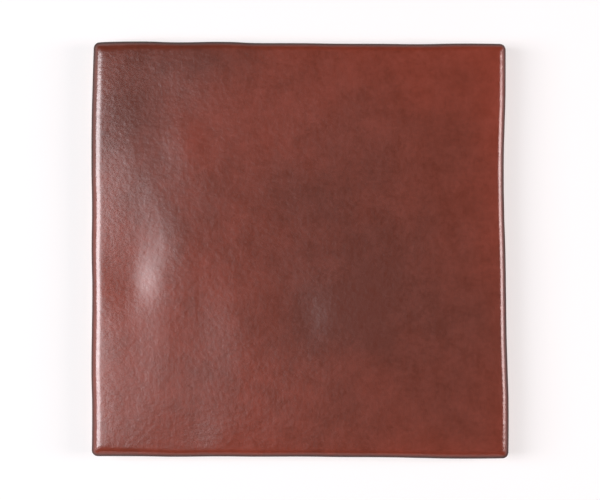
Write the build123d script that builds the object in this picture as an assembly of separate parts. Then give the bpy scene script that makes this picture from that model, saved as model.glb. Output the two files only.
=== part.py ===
from build123d import *
import math
import os

# A pressed earthenware wall tile with a hand-made look, in millimetres.
# It lies on its back: +Z is the way the glazed face looks, +Y is up the wall, and the origin is
# under the middle of the tile, in the plane of its back.

# Gauge size: the wavy outline touches this square from inside.
tile_width = 100.0
tile_height = 100.0
tile_thickness = 8.6

# Outline
edge_waver = 1.2  # how far the outline strays inside its gauge square
corner_radius = 1.8  # rounding of the four corners, in plan
side_draw_in = 0.3  # how much smaller the back is than the shoulder, on each side

# Section of the edge
edge_round = 1.7  # soft round between the face and the sides, less than corner_radius
arris = 0.5  # small slope between the sides and the back

# Pressed relief of the glazed face
dimple_depth = 0.4  # depth of the deepest finger dimple
edge_fall = 0.35  # how much lower the face lies along its edges than in the middle
face_grid_step = 4.0  # spacing of the points that the face is drawn through

# Keying on the back: shallow square pockets between ribs, which the adhesive grips
key_pitch = 11.0
key_rib = 2.0
key_depth = 0.8
key_draft = 25.0  # degrees
key_border = 5.5  # narrowest plain margin round the pockets

# The straying of each side, from one corner to the next, anticlockwise from the lower right.
# 0 touches the gauge square and 1 lies edge_waver inside it.
right_side = (0.02, 0.22, 0.55, 0.95, 0.86, 0.62)
top_side = (0.50, 0.56, 0.48, 0.34, 0.10, 0.04)
left_side = (0.42, 0.04, 0.08, 0.12, 0.02, 0.08)
bottom_side = (0.46, 0.40, 0.42, 0.32, 0.12, 0.02)

# Dimples and swells of the face. Each has its place across and up the tile, as shares of half the
# width and height, its reach across and up in millimetres, and its height in dimple depths.
face_relief = (
    (-0.82, -0.14, 4.2, 7.0, -0.90),
    (-0.80, 0.42, 4.0, 5.0, 0.22),
    (-0.70, 0.24, 4.0, 6.0, 0.26),
    (-0.63, -0.04, 4.5, 11.0, 0.40),
    (-0.68, 0.56, 5.0, 9.0, -0.50),
    (-0.50, -0.36, 5.0, 7.0, -0.45),
    (-0.05, -0.26, 6.0, 8.0, -0.50),
    (-0.54, -0.88, 5.0, 6.0, -0.40),
    (0.26, 0.16, 18.0, 20.0, -0.80),
    (0.62, -0.46, 14.0, 16.0, -0.50),
    (0.30, 0.74, 13.0, 8.0, 0.35),
    (0.84, 0.42, 7.0, 14.0, -0.40),
)


def shoulder_height():
    """The height at which the side is widest, where the soft round of the edge begins."""
    return tile_thickness - edge_round


def outline(inset, height):
    """The wavy outline as a face at one height, drawn in by inset on all four sides."""
    half_width, half_height = tile_width / 2 - inset, tile_height / 2 - inset
    # Each side: how it strays, its outward direction, its own half size and that of its neighbours.
    sides = (
        (right_side, Vector(1, 0), half_width, half_height),
        (top_side, Vector(0, 1), half_height, half_width),
        (left_side, Vector(-1, 0), half_width, half_height),
        (bottom_side, Vector(0, -1), half_height, half_width),
    )
    edges = []
    for number, (stray, outward, reach, run) in enumerate(sides):
        onward = Vector(-outward.Y, outward.X)
        before = sides[number - 1][0]
        after = sides[(number + 1) % len(sides)][0]
        start = -(run - edge_waver * before[-1] - corner_radius)
        end = run - edge_waver * after[0] - corner_radius
        steps = len(stray) - 1
        points = [
            outward * (reach - edge_waver * share) + onward * (start + (end - start) * k / steps)
            for k, share in enumerate(stray)
        ]
        edges.append(Spline(points, tangents=(onward, onward)))
        corner = points[-1] - outward * corner_radius
        turn = math.degrees(math.atan2(outward.Y, outward.X))
        edges.append(CenterArc(corner, corner_radius, turn, 90))
    return Face(Wire(edges)).moved(Location((0, 0, height)))


def face_height(x, y):
    """The height of the glazed face over the plane of the back, at one place on the tile."""
    across, up = 2 * x / tile_width, 2 * y / tile_height
    height = tile_thickness - edge_fall * (across**6 + up**6) / 2
    for place_across, place_up, reach_across, reach_up, share in face_relief:
        away = (x - place_across * tile_width / 2) / reach_across
        along = (y - place_up * tile_height / 2) / reach_up
        height += dimple_depth * share * math.exp(-(away**2 + along**2) / 2)
    return height


def face_surface():
    """The undulating glazed face, wider than the tile, as one smooth surface."""
    overhang = face_grid_step
    columns = math.ceil((tile_width + 2 * overhang) / face_grid_step)
    rows = math.ceil((tile_height + 2 * overhang) / face_grid_step)
    xs = [(tile_width + 2 * overhang) * (i / columns - 0.5) for i in range(columns + 1)]
    ys = [(tile_height + 2 * overhang) * (j / rows - 0.5) for j in range(rows + 1)]
    points = [[Vector(x, y, face_height(x, y)) for x in xs] for y in ys]
    return Face.make_surface_from_array_of_points(points, tol=0.002, min_deg=3, max_deg=3)


def blank():
    """The slab with its wavy sides, which draw in towards the back, trimmed to the face."""
    top = tile_thickness + 2 * dimple_depth
    draw_in_each_mm = side_draw_in / shoulder_height()
    sections = [
        outline(side_draw_in + arris, 0),
        outline(draw_in_each_mm * (shoulder_height() - arris), arris),
        outline(draw_in_each_mm * (shoulder_height() - top), top),
    ]
    slab = loft(sections, ruled=True)
    over_face = extrude(face_surface(), amount=2 * top, dir=(0, 0, 1))
    return slab - over_face


def key_pockets():
    """The pockets pressed in the back, an even number each way so that ribs cross in the middle."""
    across = 2 * int((tile_width / 2 - key_border) // key_pitch)
    up = 2 * int((tile_height / 2 - key_border) // key_pitch)
    side = key_pitch - key_rib
    pocket = extrude(Rectangle(side, side), key_depth, taper=key_draft)
    return [place * pocket for place in GridLocations(key_pitch, key_pitch, across, up)]


def tile():
    slab = blank()
    rim = slab.faces().sort_by(Axis.Z)[-1].outer_wire().edges()
    return fillet(rim, edge_round) - key_pockets()


os.makedirs("parts", exist_ok=True)
export_step(tile(), "parts/tile.step")
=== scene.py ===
import math
import bpy
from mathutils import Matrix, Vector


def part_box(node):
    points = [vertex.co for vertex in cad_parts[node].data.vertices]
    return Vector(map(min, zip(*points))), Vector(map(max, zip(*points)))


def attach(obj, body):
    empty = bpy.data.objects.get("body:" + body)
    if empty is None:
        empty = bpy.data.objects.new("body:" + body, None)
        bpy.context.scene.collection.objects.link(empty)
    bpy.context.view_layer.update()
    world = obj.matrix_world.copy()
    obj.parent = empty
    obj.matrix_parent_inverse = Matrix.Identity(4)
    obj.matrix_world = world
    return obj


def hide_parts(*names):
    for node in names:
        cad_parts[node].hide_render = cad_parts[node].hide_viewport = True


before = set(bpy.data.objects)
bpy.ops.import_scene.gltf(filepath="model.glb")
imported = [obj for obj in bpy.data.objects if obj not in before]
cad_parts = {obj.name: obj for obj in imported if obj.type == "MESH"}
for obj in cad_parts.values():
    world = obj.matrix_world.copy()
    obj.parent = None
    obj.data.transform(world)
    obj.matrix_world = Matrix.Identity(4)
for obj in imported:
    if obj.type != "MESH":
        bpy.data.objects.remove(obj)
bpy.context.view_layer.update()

mm = 0.001

# The tile
# One slab of earthenware, pressed in a mould and fired as one piece. Its sides waver as if cut by
# hand, and a satin red-brown glaze covers its face and runs part of the way down them. The back
# lies flat and is keyed with square pockets, which the adhesive grips.

low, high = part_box("tile")
half_width = (high.x - low.x) / 2
half_height = (high.y - low.y) / 2
middle_across = (high.x + low.x) / 2
middle_up = (high.y + low.y) / 2
highest_swell = 0.27 * mm
face_level = high.z - highest_swell

# The outline and the section of its edge. The round is softer at the left, from left_begins on.
edge_waver = 1.2 * mm
corner_radius = 1.5 * mm
corner_softness = 0.5 * mm
edge_round = 2.0 * mm
edge_round_change = 0.25 * mm
edge_round_scale = 45.0
softer_left = 0.6 * mm
left_begins = 0.6
side_draw_in = 0.3 * mm
arris = 0.5 * mm

# The face: it falls a little towards its edges, and has low swells and faint slanting flow marks.
dimple_depth = 0.4 * mm
edge_fall = 0.35 * mm
edge_ease = 0.05 * mm
edge_ease_width = 2.5 * mm
swell_width = 12 * mm
swell_depth = 0.09 * mm
flow_width = 3.6 * mm
flow_length = 7.5 * mm
flow_depth = 0.033 * mm
flow_slant = -0.2
flow_slice = 0.5

# The foot of the glaze wavers along the sides and ends in a low roll, some rings above its end.
glaze_line = 2.3 * mm
glaze_line_change = 1.6 * mm
glaze_line_scale = 90.0
glaze_thickness = 0.12 * mm
roll_rings_up = 1.5
roll_bulge = 0.5
glazed_share_of_draw_in = 0.6

# The square pockets of the back.
key_pitch = 11 * mm
key_depth = 0.8 * mm
key_corner = 1.2 * mm
key_border = 5.5 * mm

weld_reach = 0.002 * mm

# How far each side strays inside the gauge square, from one corner to the next, anticlockwise from
# the lower right, as a share of edge_waver.
side_stray = {
    "right": (0.06, 0.03, 0.22, 0.44, 0.55, 0.68, 0.92, 1.00, 0.84, 0.64, 0.62),
    "top": (0.50, 0.44, 0.57, 0.50, 0.48, 0.37, 0.36, 0.10, 0.20, 0.00, 0.14),
    "left": (0.44, 0.20, 0.02, 0.00, 0.12, 0.03, 0.16, 0.08, 0.00, 0.14, 0.06),
    "bottom": (0.45, 0.47, 0.38, 0.46, 0.40, 0.42, 0.33, 0.29, 0.13, 0.00, 0.05),
}

# Dimples and swells of the face: the place across and up the tile as shares of half its width and
# height, the reach across and up in millimetres, and the height in dimple depths.
face_relief = (
    (-0.83, -0.14, 4.8, 5.2, -1.10),
    (-0.775, -0.145, 2.0, 2.7, -0.24),
    (-0.68, -0.14, 2.3, 3.0, 0.30),
    (-0.78, -0.42, 2.6, 7.0, -0.14),
    (-0.73, 0.03, 3.0, 5.0, -0.20),
    (-0.78, 0.42, 4.0, 5.0, 0.22),
    (-0.67, 0.24, 4.0, 6.0, 0.32),
    (-0.59, -0.04, 4.5, 11.0, 0.58),
    (-0.70, 0.74, 5.5, 5.5, -0.38),
    (-0.56, 0.52, 2.5, 3.8, 0.20),
    (-0.54, 0.44, 4.0, 5.5, 0.30),
    (-0.34, 0.52, 7.0, 8.0, 0.20),
    (-0.42, 0.14, 5.0, 12.0, 0.28),
    (-0.50, -0.36, 5.0, 7.0, -0.45),
    (-0.05, -0.26, 6.0, 8.0, -0.50),
    (0.04, -0.33, 2.6, 4.5, -0.26),
    (-0.54, -0.88, 5.0, 6.0, -0.30),
    (-0.38, -0.90, 3.2, 4.5, 0.22),
    (0.26, 0.16, 18.0, 20.0, -0.80),
    (0.62, -0.46, 14.0, 16.0, -0.50),
    (0.30, 0.74, 13.0, 8.0, 0.35),
    (0.84, 0.42, 7.0, 14.0, -0.40),
)

# The skin is a square net whose rings run from the middle of the face, over the round and down the
# sides, to the edge of the back.
face_rings = 92
round_rings = 14
glazed_side_rings = 6
bare_side_rings = 4
arris_rings = 4
ring_count = face_rings + round_rings + glazed_side_rings + bare_side_rings + arris_rings
face_ends = face_rings / ring_count
round_ends = face_ends + round_rings / ring_count
glaze_ends = round_ends + glazed_side_rings / ring_count
side_ends = glaze_ends + bare_side_rings / ring_count

# The section of a pocket, from its middle to the middle of the rib, one pair for each ring of its
# net: the share of half the pitch and the share of the depth.
pocket_section = (
    (0.0, 1.0),
    (0.40, 1.0),
    (0.68, 1.0),
    (0.735, 0.94),
    (0.795, 0.12),
    (0.845, 0.0),
    (1.0, 0.0),
)


def feed(socket, value):
    """Gives a socket a number or the result of another node."""
    if isinstance(value, Amount):
        socket.id_data.links.new(value.socket, socket)
    else:
        socket.default_value = value


def work(tree, operation, *values):
    """One sum, product or function of a node tree."""
    node = tree.nodes.new("ShaderNodeMath")
    node.operation = operation
    for socket, value in zip(node.inputs, values):
        feed(socket, value)
    return Amount(node.outputs[0])


class Amount:
    """A number that a node tree works out for each point, written with plain arithmetic."""

    def __init__(self, socket):
        self.socket = socket
        self.tree = socket.id_data

    def __add__(self, other):
        return work(self.tree, "ADD", self, other)

    def __radd__(self, other):
        return work(self.tree, "ADD", other, self)

    def __sub__(self, other):
        return work(self.tree, "SUBTRACT", self, other)

    def __rsub__(self, other):
        return work(self.tree, "SUBTRACT", other, self)

    def __mul__(self, other):
        return work(self.tree, "MULTIPLY", self, other)

    def __rmul__(self, other):
        return work(self.tree, "MULTIPLY", other, self)

    def __truediv__(self, other):
        return work(self.tree, "DIVIDE", self, other)

    def __neg__(self):
        return work(self.tree, "MULTIPLY", self, -1.0)

    def __abs__(self):
        return work(self.tree, "ABSOLUTE", self)


def at_most(value, limit):
    return work(value.tree, "MINIMUM", value, limit)


def at_least(value, limit):
    return work(value.tree, "MAXIMUM", value, limit)


def between(value, lowest, highest):
    return at_most(at_least(value, lowest), highest)


def progress(value, start, end):
    """0 before start, 1 past end, and evenly from one to the other between them."""
    return between((value - start) / (end - start), 0.0, 1.0)


def blend_of(start, end, share):
    return start + (end - start) * share


def bell(value):
    """A smooth hump: 1 where value is 0, dying away with the square of its distance."""
    return work(value.tree, "EXPONENT", value * -0.5)


def separate(tree, vector_socket):
    node = tree.nodes.new("ShaderNodeSeparateXYZ")
    tree.links.new(vector_socket, node.inputs[0])
    return [Amount(socket) for socket in node.outputs]


def together(tree, x, y, z):
    node = tree.nodes.new("ShaderNodeCombineXYZ")
    for socket, value in zip(node.inputs, (x, y, z)):
        feed(socket, value)
    return Amount(node.outputs[0])


def noise(tree, place, scale, detail=2.0, roughness=0.5):
    """Smooth chance variation about 0, from -0.5 to 0.5, with 1 / scale as its width."""
    node = tree.nodes.new("ShaderNodeTexNoise")
    feed(node.inputs["Vector"], place)
    node.inputs["Scale"].default_value = scale
    node.inputs["Detail"].default_value = detail
    node.inputs["Roughness"].default_value = roughness
    return Amount(node.outputs[0]) - 0.5


def follow(value, stations):
    """A smooth curve through evenly spaced stations, read at a value from 0 to 1."""
    node = value.tree.nodes.new("ShaderNodeFloatCurve")
    curve = node.mapping.curves[0]
    curve.points[0].location = (0.0, stations[0])
    curve.points[1].location = (1.0, stations[-1])
    for k in range(1, len(stations) - 1):
        curve.points.new(k / (len(stations) - 1), stations[k])
    node.mapping.update()
    feed(node.inputs["Value"], value)
    return Amount(node.outputs[0])


def rounded_square(across, up, half_across, half_up, radius):
    """The point of a rounded rectangle's outline that belongs to a point of its sharp outline."""
    core_across = between(across, radius - half_across, half_across - radius)
    core_up = between(up, radius - half_up, half_up - radius)
    out_across, out_up = across - core_across, up - core_up
    length = work(across.tree, "SQRT", out_across * out_across + out_up * out_up)
    return core_across + out_across / length * radius, core_up + out_up / length * radius


def net(tree, rings_each_way):
    """A square net from -1 to 1, with the amounts that name a point's place in it."""
    grid = tree.nodes.new("GeometryNodeMeshGrid")
    grid.inputs["Size X"].default_value = 2.0
    grid.inputs["Size Y"].default_value = 2.0
    grid.inputs["Vertices X"].default_value = 2 * rings_each_way + 1
    grid.inputs["Vertices Y"].default_value = 2 * rings_each_way + 1
    position = tree.nodes.new("GeometryNodeInputPosition")
    across, up, _ = separate(tree, position.outputs[0])
    ring = at_least(abs(across), abs(up))
    return grid.outputs["Mesh"], across, up, ring


def place_points(tree, mesh, x, y, z):
    node = tree.nodes.new("GeometryNodeSetPosition")
    tree.links.new(mesh, node.inputs["Geometry"])
    feed(node.inputs["Position"], together(tree, x, y, z))
    return node.outputs["Geometry"]


def keep_attribute(tree, mesh, name, value, kind="FLOAT", domain="POINT"):
    node = tree.nodes.new("GeometryNodeStoreNamedAttribute")
    node.data_type = kind
    node.domain = domain
    node.inputs["Name"].default_value = name
    tree.links.new(mesh, node.inputs["Geometry"])
    feed(node.inputs["Value"], value)
    return node.outputs["Geometry"]


def relief_of(x, y, size):
    """The dimples and swells of the face, without its fall towards the edges."""
    relief = 0.0
    for place_across, place_up, reach_across, reach_up, share in face_relief:
        away = (x - size["Half width"] * place_across) / (reach_across * mm)
        along = (y - size["Half height"] * place_up) / (reach_up * mm)
        relief = bell(away * away + along * along) * share + relief
    return relief * size["Dimple depth"]


def skin(tree, size):
    """The glazed face, the round and the sides down to the edge of the back, as one open net."""
    mesh, u, v, ring = net(tree, ring_count)
    around = together(tree, size["Half width"] * u / ring, size["Half height"] * v / ring, 0.0)

    # Down the section of the edge, ring by ring.
    turn = progress(ring, face_ends, round_ends) * (math.pi / 2)
    at_left = progress(-u / ring, left_begins, 1.0)
    on_round = size["Edge round"] + at_left * size["Softer left"]
    on_round = on_round + noise(tree, around, edge_round_scale) * size["Edge round change"]
    wavering = noise(tree, around, glaze_line_scale, detail=3.0)
    glaze_foot = size["Glaze line"] + wavering * size["Glaze line change"]
    glazed_side = progress(ring, round_ends, glaze_ends)
    bare_side = progress(ring, glaze_ends, side_ends)
    arris_turn = progress(ring, side_ends, 1.0) * (math.pi / 2)
    from_roll = ring - (glaze_ends - roll_rings_up / ring_count)
    roll = bell(from_roll * from_roll * ring_count**2)
    step_back = progress(ring, glaze_ends, glaze_ends + 1.0 / ring_count)
    bare_share_of_draw_in = 1.0 - glazed_share_of_draw_in
    drawn_in = glazed_side * glazed_share_of_draw_in + bare_side * bare_share_of_draw_in
    inset = on_round * (1.0 - work(tree, "SINE", turn))
    inset = inset + size["Side draw-in"] * drawn_in
    inset = inset + size["Glaze thickness"] * (step_back - roll * roll_bulge)
    inset = inset + size["Arris"] * (1.0 - work(tree, "COSINE", arris_turn))

    # The plan, with the straying of the four sides fading towards the middle.
    inward = at_most(ring / face_ends, 1.0)
    half_across = size["Half width"] - inset
    half_up = size["Half height"] - inset
    corner = at_least(size["Corner radius"] - inset, corner_softness)
    x, y = rounded_square(half_across * u / ring, half_up * v / ring, half_across, half_up, corner)
    x = x * inward
    y = y * inward
    straight_up = size["Half height"] - size["Corner radius"]
    straight_across = size["Half width"] - size["Corner radius"]
    run_up = progress(y, -straight_up, straight_up)
    run_across = progress(x, -straight_across, straight_across)
    to_right = at_least(x / size["Half width"], 0.0)
    to_left = at_least(-x / size["Half width"], 0.0)
    to_top = at_least(y / size["Half height"], 0.0)
    to_bottom = at_least(-y / size["Half height"], 0.0)
    stray_across = (
        follow(1.0 - run_up, side_stray["left"]) * to_left * to_left
        - follow(run_up, side_stray["right"]) * to_right * to_right
    )
    stray_up = (
        follow(run_across, side_stray["bottom"]) * to_bottom * to_bottom
        - follow(1.0 - run_across, side_stray["top"]) * to_top * to_top
    )
    x = x + stray_across * size["Edge waver"]
    y = y + stray_up * size["Edge waver"]

    # The height: the pressed face, less the fall over the round and down the side.
    relief = relief_of(x, y, size)
    across_square = (x / size["Half width"]) * (x / size["Half width"])
    up_square = (y / size["Half height"]) * (y / size["Half height"])
    sixth_across = across_square * across_square * across_square
    sixth_up = up_square * up_square * up_square
    fall = size["Edge fall"] * 0.5 * (sixth_across + sixth_up)
    flat_place = together(tree, x, y, 0.0)
    lumps = noise(tree, flat_place, 1 / swell_width, detail=1.0) * size["Swell depth"]
    flows = together(tree, (x + y * flow_slant) / flow_width, y / flow_length, flow_slice)
    lumps = lumps + noise(tree, flows, 1.0, detail=1.0) * size["Flow depth"]
    from_rim = (1.0 - inward) * size["Half width"]
    ease = work(tree, "EXPONENT", from_rim / -edge_ease_width) * edge_ease
    face = size["Face level"] - fall + relief + lumps - ease
    shoulder = face - on_round * (1.0 - work(tree, "COSINE", turn))
    height = blend_of(shoulder, glaze_foot, glazed_side)
    height = blend_of(height, size["Arris"], bare_side)
    height = height - size["Arris"] * work(tree, "SINE", arris_turn)

    mesh = keep_attribute(tree, mesh, "glaze_pool", -relief / size["Dimple depth"])
    mesh = keep_attribute(tree, mesh, "edge_distance", from_rim + inset)
    mesh = keep_attribute(tree, mesh, "above_glaze_line", height - glaze_foot)
    glazed = work(tree, "LESS_THAN", ring, glaze_ends)
    mesh = keep_attribute(tree, mesh, "glazed", glazed, kind="BOOLEAN", domain="FACE")
    return place_points(tree, mesh, x + middle_across, y + middle_up, height)


def pockets(tree, size):
    """The keyed middle of the back: one pocket with its half ribs, repeated in rows."""
    rings = len(pocket_section) - 1
    mesh, u, v, ring = net(tree, rings)
    half_side = follow(ring, [share for share, _ in pocket_section]) * (key_pitch / 2)
    within_rib = work(tree, "LESS_THAN", ring, 1.0 - 0.5 / rings)
    corner = at_most(half_side, key_corner) * within_rib
    sharp = 0.001 * mm
    x, y = rounded_square(
        half_side * u / ring, half_side * v / ring, half_side, half_side, at_least(corner, sharp)
    )
    depth = follow(ring, [share for _, share in pocket_section]) * size["Key depth"]
    cell = place_points(tree, mesh, x, y, depth)
    rows_across = 2 * int((half_width - key_border) // key_pitch)
    rows_up = 2 * int((half_height - key_border) // key_pitch)
    seats = tree.nodes.new("GeometryNodeMeshGrid")
    seats.inputs["Size X"].default_value = (rows_across - 1) * key_pitch
    seats.inputs["Size Y"].default_value = (rows_up - 1) * key_pitch
    seats.inputs["Vertices X"].default_value = rows_across
    seats.inputs["Vertices Y"].default_value = rows_up
    copies = tree.nodes.new("GeometryNodeInstanceOnPoints")
    tree.links.new(seats.outputs["Mesh"], copies.inputs["Points"])
    tree.links.new(cell, copies.inputs["Instance"])
    whole = tree.nodes.new("GeometryNodeRealizeInstances")
    tree.links.new(copies.outputs[0], whole.inputs[0])
    return merge(tree, whole.outputs[0])


def merge(tree, mesh):
    node = tree.nodes.new("GeometryNodeMergeByDistance")
    tree.links.new(mesh, node.inputs["Geometry"])
    node.inputs["Distance"].default_value = weld_reach
    return node.outputs["Geometry"]


def rim_curve(tree, mesh):
    """The open edge of a mesh as a curve."""
    neighbours = tree.nodes.new("GeometryNodeInputMeshEdgeNeighbors")
    one_face, tolerance = 1.0, 0.1
    alone = work(tree, "COMPARE", Amount(neighbours.outputs[0]), one_face, tolerance)
    node = tree.nodes.new("GeometryNodeMeshToCurve")
    tree.links.new(mesh, node.inputs["Mesh"])
    feed(node.inputs["Selection"], alone)
    return node.outputs["Curve"]


def join(tree, *parts):
    node = tree.nodes.new("GeometryNodeJoinGeometry")
    for part in parts:
        tree.links.new(part, node.inputs[0])
    return node.outputs[0]


def tile_tree(sizes, glaze, clay):
    """The node tree that shapes the whole tile, with its sizes as named inputs."""
    tree = bpy.data.node_groups.new("pressed_tile", "GeometryNodeTree")
    tree.interface.new_socket("Geometry", in_out="OUTPUT", socket_type="NodeSocketGeometry")
    for name, value in sizes.items():
        socket = tree.interface.new_socket(name, in_out="INPUT", socket_type="NodeSocketFloat")
        socket.default_value = value
    given = tree.nodes.new("NodeGroupInput")
    size = {name: Amount(given.outputs[name]) for name in sizes}

    front = skin(tree, size)
    keyed = pockets(tree, size)
    border = tree.nodes.new("GeometryNodeFillCurve")
    tree.links.new(join(tree, rim_curve(tree, front), rim_curve(tree, keyed)), border.inputs[0])
    turned = tree.nodes.new("GeometryNodeFlipFaces")
    tree.links.new(join(tree, keyed, border.outputs[0]), turned.inputs[0])
    closed = merge(tree, join(tree, front, turned.outputs[0]))

    smooth = tree.nodes.new("GeometryNodeSetShadeSmooth")
    tree.links.new(closed, smooth.inputs["Geometry"])
    whole = tree.nodes.new("GeometryNodeRealizeInstances")
    tree.links.new(smooth.outputs[0], whole.inputs[0])
    bare = tree.nodes.new("GeometryNodeSetMaterial")
    bare.inputs["Material"].default_value = clay
    tree.links.new(whole.outputs[0], bare.inputs["Geometry"])
    glazed = tree.nodes.new("GeometryNodeInputNamedAttribute")
    glazed.data_type = "BOOLEAN"
    glazed.inputs["Name"].default_value = "glazed"
    dipped = tree.nodes.new("GeometryNodeSetMaterial")
    dipped.inputs["Material"].default_value = glaze
    tree.links.new(bare.outputs[0], dipped.inputs["Geometry"])
    tree.links.new(glazed.outputs["Attribute"], dipped.inputs["Selection"])
    out = tree.nodes.new("NodeGroupOutput")
    tree.links.new(dipped.outputs[0], out.inputs[0])
    return tree


def read_attribute(tree, name):
    node = tree.nodes.new("ShaderNodeAttribute")
    node.attribute_name = name
    return Amount(node.outputs["Fac"])


def object_place(tree):
    node = tree.nodes.new("ShaderNodeTexCoord")
    return Amount(node.outputs["Object"])


def stretched(tree, place, across, up, through):
    """The same place with its directions scaled apart, so that noise read there is drawn out."""
    node = tree.nodes.new("ShaderNodeMapping")
    feed(node.inputs["Vector"], place)
    node.inputs["Scale"].default_value = (across, up, through)
    return Amount(node.outputs[0])


def colour_ramp(share, stops):
    """The colour at a share from 0 to 1 of the way through a list of stops."""
    node = share.tree.nodes.new("ShaderNodeValToRGB")
    ramp = node.color_ramp
    ramp.elements[0].position, ramp.elements[0].color = stops[0][0], (*stops[0][1], 1)
    ramp.elements[1].position, ramp.elements[1].color = stops[-1][0], (*stops[-1][1], 1)
    for position, colour in stops[1:-1]:
        ramp.elements.new(position).color = (*colour, 1)
    feed(node.inputs[0], share)
    return Amount(node.outputs["Color"])


def scaled(tree, vector, share):
    """A colour or other vector times a share."""
    node = tree.nodes.new("ShaderNodeVectorMath")
    node.operation = "SCALE"
    feed(node.inputs[0], vector)
    feed(node.inputs["Scale"], share)
    return Amount(node.outputs[0])


def bumps(height, depth):
    """A surface normal disturbed by a height from -0.5 to 0.5 of that depth, in metres."""
    node = height.tree.nodes.new("ShaderNodeBump")
    node.inputs["Strength"].default_value = 1.0
    node.inputs["Distance"].default_value = depth
    feed(node.inputs["Height"], height)
    return Amount(node.outputs[0])


# Where the glaze pooled or ran thin as it was dipped: the place across and up, the reach across and
# up in millimetres, and how much thicker it is there.
glaze_patches = (
    (-0.86, 0.66, 7.0, 9.0, 0.55),
    (-0.54, 0.86, 6.0, 4.5, 0.26),
    (-0.74, 0.34, 5.0, 8.0, 0.22),
    (-0.62, 0.06, 4.0, 9.0, 0.35),
    (-0.77, -0.14, 5.0, 8.0, -0.36),
    (0.40, -0.20, 24.0, 24.0, 0.14),
    (-0.42, 0.10, 5.0, 9.0, 0.18),
    (-0.04, 0.20, 9.0, 9.0, 0.20),
    (0.16, 0.52, 10.0, 8.0, -0.08),
    (0.34, 0.04, 9.0, 11.0, 0.27),
    (0.20, -0.32, 12.0, 6.0, 0.18),
    (0.50, 0.55, 16.0, 8.0, 0.06),
    (0.25, -0.88, 28.0, 9.0, 0.10),
    (0.82, -0.40, 8.0, 12.0, 0.14),
    (0.92, 0.00, 5.0, 40.0, -0.10),
    (-0.70, 0.96, 20.0, 4.0, 0.40),
)
patch_drift = 9 * mm
drift_scale = 70.0

# Its usual thickness, from 0 to 1, and how widely and strongly it changes.
usual_thickness = 0.475
pool_share = 0.2
cloud_scale, cloud_share = 30.0, 0.6
blotch_scale, blotch_share = 110.0, 0.4
mottle_scale, mottle_share = 300.0, 0.4
grain_scale, grain_share = 1000.0, 0.45
thinning_at_edge, edge_decay = 0.15, 160.0

# The colour at each thickness: darker and browner where it lies thick, redder where it runs thin.
glaze_colours = (
    (0.0, (0.226, 0.034, 0.0152)),
    (0.35, (0.179, 0.028, 0.0120)),
    (0.65, (0.137, 0.0235, 0.0102)),
    (1.0, (0.099, 0.0188, 0.0084)),
)

# Down the sides it thins out in runs above its foot. Over the rim it is dull, with painted shade.
run_scales = (700.0, 700.0, 60.0)
thin_foot, thin_foot_change, thinning_at_foot = 1.6 * mm, 2.4 * mm, 0.5
rim_from, rim_to = 0.3 * mm, 1.0 * mm
rim_foot, rim_top, rim_foot_change = 3.4 * mm, 6.4 * mm, 2.0 * mm
# How much the rim's colour is darkened as painted shade, and how much rougher the rim is.
rim_painted_shade, rim_dulling = 0.75, 0.3

# Its gloss: a satin body under a clear coat, which begins at the rim.
glaze_roughness, least_roughness = 0.35, 0.29
cloud_gloss, blotch_gloss, mottle_gloss, grain_gloss = 0.08, 0.06, 0.2, 0.22
glass_ior = 1.5
coat_roughness = 0.2
coat_from, coat_to = 0.5 * mm, 1.3 * mm

# Orange peel of the fired glaze, and faint streaks that run up the tile.
peel_scale = 850.0
streak_scales = (500.0, 70.0, 500.0)
streak_share = 0.35
peel_depth = 0.043 * mm


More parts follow.
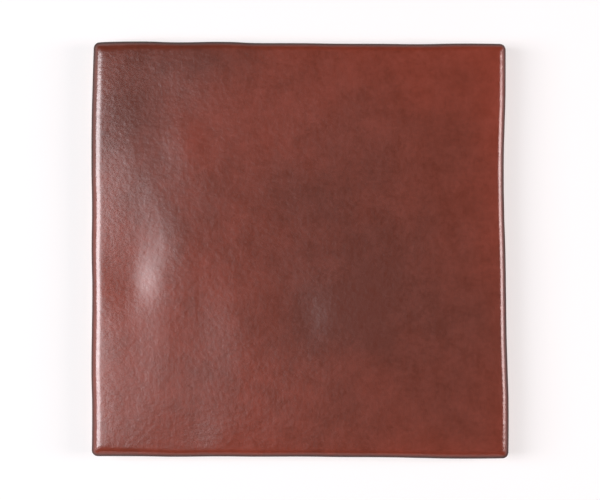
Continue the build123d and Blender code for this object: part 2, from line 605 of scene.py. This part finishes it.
def satin_glaze():
    material = bpy.data.materials.new("satin_glaze")
    material.use_nodes = True
    tree = material.node_tree
    shader = tree.nodes["Principled BSDF"]
    place = object_place(tree)
    x, y, z = separate(tree, place.socket)
    pool = read_attribute(tree, "glaze_pool")
    edge_distance = read_attribute(tree, "edge_distance")
    above_line = read_attribute(tree, "above_glaze_line")

    # How thick it lies.
    clouds = noise(tree, place, cloud_scale)
    mottle = noise(tree, place, mottle_scale, roughness=0.6)
    grain = noise(tree, place, grain_scale, roughness=0.6)
    near_edge = work(tree, "EXPONENT", edge_distance * -edge_decay)
    blotches = noise(tree, together(tree, x, y, 0.04), blotch_scale)
    thickness = usual_thickness + pool * pool_share + clouds * cloud_share
    thickness = thickness - near_edge * thinning_at_edge
    thickness = thickness + blotches * blotch_share + mottle * mottle_share + grain * grain_share
    x_drift = noise(tree, together(tree, x, y, 0.02), drift_scale) * patch_drift
    y_drift = noise(tree, together(tree, x, y, 0.07), drift_scale) * patch_drift
    for patch_across, patch_up, reach_across, reach_up, share in glaze_patches:
        away = (x + x_drift - patch_across * half_width) / (reach_across * mm)
        along = (y + y_drift - patch_up * half_height) / (reach_up * mm)
        thickness = thickness + bell(away * away + along * along) * share
    runs = noise(tree, stretched(tree, place, *run_scales), 1.0)
    down_to_foot = 1.0 - progress(above_line, 0.0, thin_foot + runs * thin_foot_change)
    thickness = thickness - down_to_foot * thinning_at_foot

    # Its colour and gloss.
    # Along the upper rim the colour is darkened as painted shade, and the glaze is made rougher.
    rim_shade_and_dulling = 1.0 - progress(edge_distance, rim_from, rim_to)
    rim_shade_and_dulling = rim_shade_and_dulling * progress(z + runs * rim_foot_change, rim_foot, rim_top)
    colour = colour_ramp(between(thickness, 0.0, 1.0), glaze_colours)
    feed(shader.inputs["Base Color"], scaled(tree, colour, 1.0 - rim_shade_and_dulling * rim_painted_shade))
    satin = glaze_roughness + clouds * cloud_gloss - blotches * blotch_gloss
    satin = satin - mottle * mottle_gloss - grain * grain_gloss
    satin = at_least(satin, least_roughness)
    feed(shader.inputs["Roughness"], satin + rim_shade_and_dulling * rim_dulling)
    shader.inputs["IOR"].default_value = glass_ior
    feed(shader.inputs["Coat Weight"], progress(edge_distance, coat_from, coat_to))
    shader.inputs["Coat Roughness"].default_value = coat_roughness
    shader.inputs["Coat IOR"].default_value = glass_ior

    peel = noise(tree, place, peel_scale)
    streaks = noise(tree, stretched(tree, place, *streak_scales), 1.0)
    rough_normal = bumps(peel + streaks * streak_share, peel_depth)
    feed(shader.inputs["Normal"], rough_normal)
    feed(shader.inputs["Coat Normal"], rough_normal)
    return material


# The bare clay: pale terracotta, dry and a little gritty.
clay_cloud_scale, clay_cloud_share = 45.0, 0.8
grit_scale, grit_share = 1500.0, 0.5
clay_colours = (
    (0.0, (0.40, 0.170, 0.090)),
    (0.5, (0.52, 0.245, 0.140)),
    (1.0, (0.62, 0.330, 0.205)),
)
clay_roughness, grit_roughness = 0.85, 0.1
grit_depth = 0.12 * mm


def fired_clay():
    material = bpy.data.materials.new("fired_clay")
    material.use_nodes = True
    tree = material.node_tree
    shader = tree.nodes["Principled BSDF"]
    place = object_place(tree)
    clouds = noise(tree, place, clay_cloud_scale, detail=3.0)
    grit = noise(tree, place, grit_scale, detail=3.0, roughness=0.7)
    shade = 0.5 + clouds * clay_cloud_share + grit * grit_share
    feed(shader.inputs["Base Color"], colour_ramp(shade, clay_colours))
    feed(shader.inputs["Roughness"], clay_roughness + grit * grit_roughness)
    feed(shader.inputs["Normal"], bumps(grit, grit_depth))
    return material


sizes = {
    "Half width": half_width,
    "Half height": half_height,
    "Face level": face_level,
    "Edge waver": edge_waver,
    "Corner radius": corner_radius,
    "Edge round": edge_round,
    "Edge round change": edge_round_change,
    "Softer left": softer_left,
    "Side draw-in": side_draw_in,
    "Arris": arris,
    "Dimple depth": dimple_depth,
    "Edge fall": edge_fall,
    "Swell depth": swell_depth,
    "Flow depth": flow_depth,
    "Glaze line": glaze_line,
    "Glaze line change": glaze_line_change,
    "Glaze thickness": glaze_thickness,
    "Key depth": key_depth,
}
shaping = tile_tree(sizes, satin_glaze(), fired_clay())
blank = bpy.data.objects.new("blank", bpy.data.meshes.new("blank"))
bpy.context.scene.collection.objects.link(blank)
press = blank.modifiers.new("press", "NODES")
press.node_group = shaping
for socket in shaping.interface.items_tree:
    if socket.in_out == "INPUT":
        press[socket.identifier] = sizes[socket.name]
pressed = blank.evaluated_get(bpy.context.evaluated_depsgraph_get())
tile_mesh = bpy.data.meshes.new_from_object(pressed)

# The net's first material place is empty, and no face uses it.
if tile_mesh.materials[0] is None:
    tile_mesh.materials.pop(index=0)
bpy.data.objects.remove(blank)
tile = bpy.data.objects.new("glazed_tile", tile_mesh)
bpy.context.scene.collection.objects.link(tile)
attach(tile, "root")
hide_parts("tile")


# The floor
# A plain pale sheet that the tile lies on. It looks near white, and it keeps the tile's soft shadow.

half_floor = 4.0
floor_shade = 0.38
floor_glow = 0.58
bounce_shade = 0.7
white_from, white_at = 0.2, 0.6

floor_mesh = bpy.data.meshes.new("floor")
quarters = ((-1, -1), (1, -1), (1, 1), (-1, 1))
corners = [(x * half_floor, y * half_floor, 0.0) for x, y in quarters]
floor_mesh.from_pydata(corners, [], [(0, 1, 2, 3)])
floor = bpy.data.objects.new("floor", floor_mesh)
bpy.context.scene.collection.objects.link(floor)


def pale_sheet():
    """It takes the lamps' shadow and glows a little. The camera sees it pure white far away."""
    material = bpy.data.materials.new("pale_sheet")
    material.use_nodes = True
    tree = material.node_tree
    tree.nodes.remove(tree.nodes["Principled BSDF"])
    lit = tree.nodes.new("ShaderNodeBsdfDiffuse")
    lit.inputs["Color"].default_value = (floor_shade, floor_shade, floor_shade, 1)
    glow = tree.nodes.new("ShaderNodeEmission")
    glow.inputs["Color"].default_value = (1, 1, 1, 1)
    path = tree.nodes.new("ShaderNodeLightPath")
    x, y, _ = separate(tree, object_place(tree).socket)
    far = progress(work(tree, "SQRT", x * x + y * y), white_from, white_at)
    far = far * Amount(path.outputs["Is Camera Ray"])
    feed(glow.inputs["Strength"], floor_glow + far * (1.0 - floor_glow))
    shown = tree.nodes.new("ShaderNodeAddShader")
    tree.links.new(lit.outputs[0], shown.inputs[0])
    tree.links.new(glow.outputs[0], shown.inputs[1])
    bounce = tree.nodes.new("ShaderNodeBsdfDiffuse")
    bounce.inputs["Color"].default_value = (bounce_shade, bounce_shade, bounce_shade, 1)
    seen = Amount(path.outputs["Is Camera Ray"])
    seen = at_least(seen, Amount(path.outputs["Is Glossy Ray"]))
    seen = at_least(seen, Amount(path.outputs["Is Transmission Ray"]))
    choice = tree.nodes.new("ShaderNodeMixShader")
    feed(choice.inputs[0], seen)
    tree.links.new(bounce.outputs[0], choice.inputs[1])
    tree.links.new(shown.outputs[0], choice.inputs[2])
    tree.links.new(choice.outputs[0], tree.nodes["Material Output"].inputs["Surface"])
    return material


floor_mesh.materials.append(pale_sheet())


# The light
# Three cool white softboxes stand at the left, with a rosy strip at the right and a weak one below
# the tile. The room is pale near the horizon and dim overhead, and the camera sees it white.

lilac_white = (1.0, 0.95, 0.99)
rosy_white = (1.0, 0.80, 0.79)

# Name, azimuth and elevation in degrees, distance, width and height in metres, brightness, colour.
softboxes = (
    ("left_softbox", 180.0, 44.0, 0.90, 0.35, 0.62, 11.5, lilac_white),
    ("left_softbox_top", 186.0, 70.0, 0.90, 0.36, 0.23, 3.6, lilac_white),
    ("left_fill", 200.0, 81.0, 0.80, 0.20, 0.12, 0.92, lilac_white),
    ("right_strip", 0.0, 35.0, 0.80, 0.26, 0.50, 10.8, rosy_white),
    ("lower_strip", 270.0, 22.0, 0.90, 0.50, 0.12, 1.8, rosy_white),
)


def softbox(name, azimuth, elevation, distance, width, height, brightness, colour):
    """A rectangular lamp that faces the tile. Azimuth runs anticlockwise from the right."""
    lamp = bpy.data.lights.new(name, "AREA")
    lamp.color = colour
    lamp.shape = "RECTANGLE"
    lamp.size = width
    lamp.size_y = height
    lamp.energy = brightness * math.pi * width * height
    holder = bpy.data.objects.new(name, lamp)
    turn, lift = math.radians(azimuth), math.radians(elevation)
    holder.location = (
        distance * math.cos(turn) * math.cos(lift),
        distance * math.sin(turn) * math.cos(lift),
        distance * math.sin(lift),
    )
    holder.rotation_euler = (math.pi / 2 - lift, 0.0, turn + math.pi / 2)
    bpy.context.scene.collection.objects.link(holder)


for values in softboxes:
    softbox(*values)

at_horizon, overhead = (0.95, 0.95, 0.95), (0.06, 0.06, 0.06)
horizon_ends, overhead_begins = 0.12, 0.30

room = bpy.data.worlds.new("room")
room.use_nodes = True
bpy.context.scene.world = room
room_tree = room.node_tree
_, _, skyward = separate(room_tree, object_place(room_tree).socket)
room_light = colour_ramp(
    between(skyward, 0.0, 1.0),
    (
        (0.0, at_horizon),
        (horizon_ends, at_horizon),
        (overhead_begins, overhead),
        (1.0, overhead),
    ),
)
seen_room = room_tree.nodes.new("ShaderNodeMix")
seen_room.data_type = "RGBA"
room_path = room_tree.nodes.new("ShaderNodeLightPath")
feed(seen_room.inputs["Factor"], Amount(room_path.outputs["Is Camera Ray"]))
feed(seen_room.inputs["A"], room_light)
seen_room.inputs["B"].default_value = (1.0, 1.0, 1.0, 1.0)
room_tree.links.new(seen_room.outputs["Result"], room_tree.nodes["Background"].inputs["Color"])


# The camera
# It looks straight down on the tile, which lies with its upper edge towards the top of the picture.

camera_height = 0.45
picture_height = 119 * mm
picture_width = picture_height * 600 / 500

camera_data = bpy.data.cameras.new("camera")
camera_data.sensor_width = 36.0
camera_data.lens = camera_data.sensor_width * (camera_height - high.z) / picture_width
camera = bpy.data.objects.new("camera", camera_data)
camera.location = (middle_across, middle_up, camera_height)
bpy.context.scene.collection.objects.link(camera)
bpy.context.scene.camera = camera
bpy.context.scene.view_settings.view_transform = "Standard"
